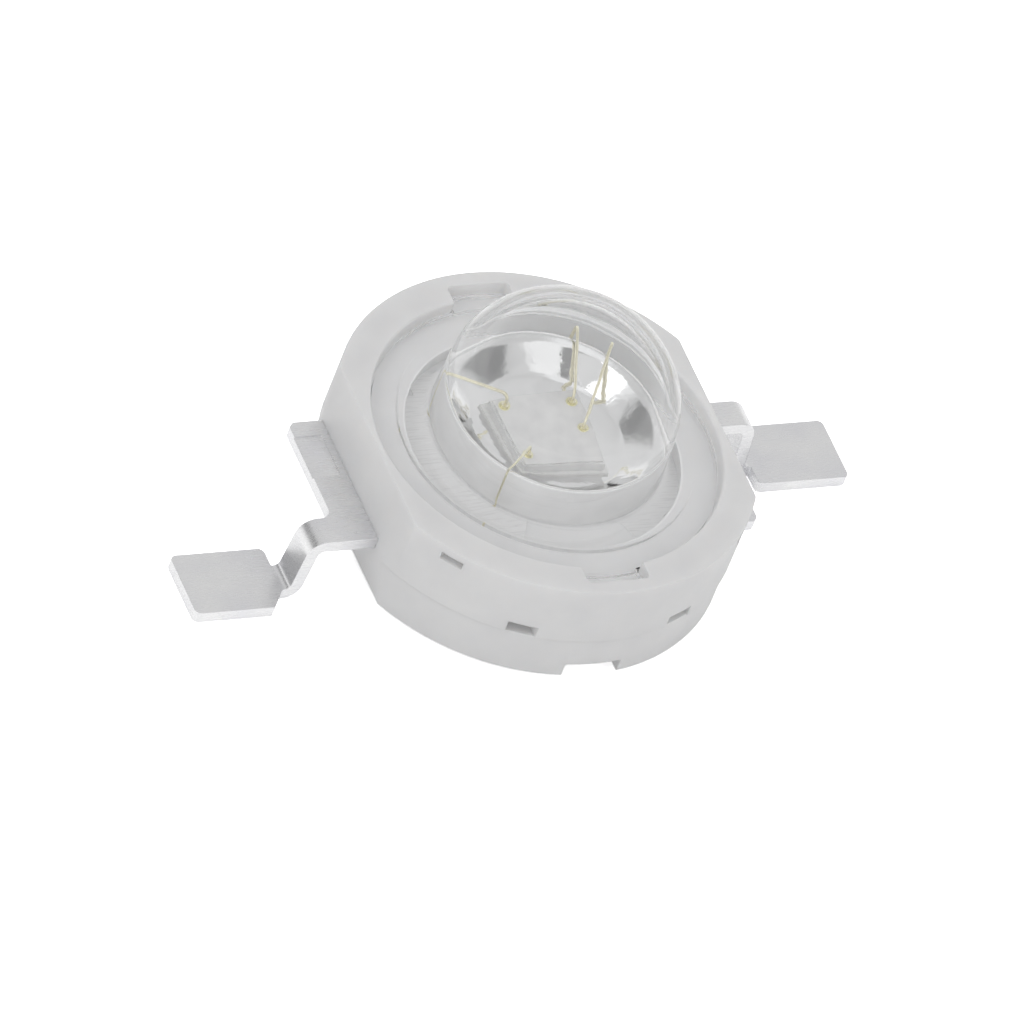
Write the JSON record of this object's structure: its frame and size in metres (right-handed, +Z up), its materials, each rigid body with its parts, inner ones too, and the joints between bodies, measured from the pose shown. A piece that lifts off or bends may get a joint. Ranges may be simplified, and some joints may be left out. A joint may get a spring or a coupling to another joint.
{
  "type": "high power led",
  "caption": "Surface-mount power light emitter: round white body with two flats, clear dome lens over a silvered reflector cup, heat slug underneath, gull-wing leads.",
  "frame": {"origin": "on the board surface, under the middle of the heat slug", "axes": "+X along the leads towards the right lead, +Y to the rear, +Z up out of the dome"},
  "size_m": [0.0142, 0.008, 0.0054],
  "materials": {
    "white_moulding": "satin white moulding",
    "silver_plated_copper": "bright silver plate, polished in the cup",
    "silver_plated_strip": "bright silver plate on rolled strip",
    "clear_lens": "clear, polished",
    "clear_gel": "clear, soft",
    "silver_glue": "dull, filled with silver",
    "chip": "clear crystal with a pale face",
    "gold_wire": "bright gold"
  },
  "bodies": {
    "root": {"housing": "white_moulding", "heat_slug": "silver_plated_copper", "left_lead": "silver_plated_strip", "right_lead": "silver_plated_strip", "lens": "clear_lens", "gel_fill": "clear_gel", "die_attach": "silver_glue", "led_die": "chip", "left_wire_front": "gold_wire", "left_wire_rear": "gold_wire", "right_wire_front": "gold_wire", "right_wire_rear": "gold_wire"}
  },
  "joints": []
}
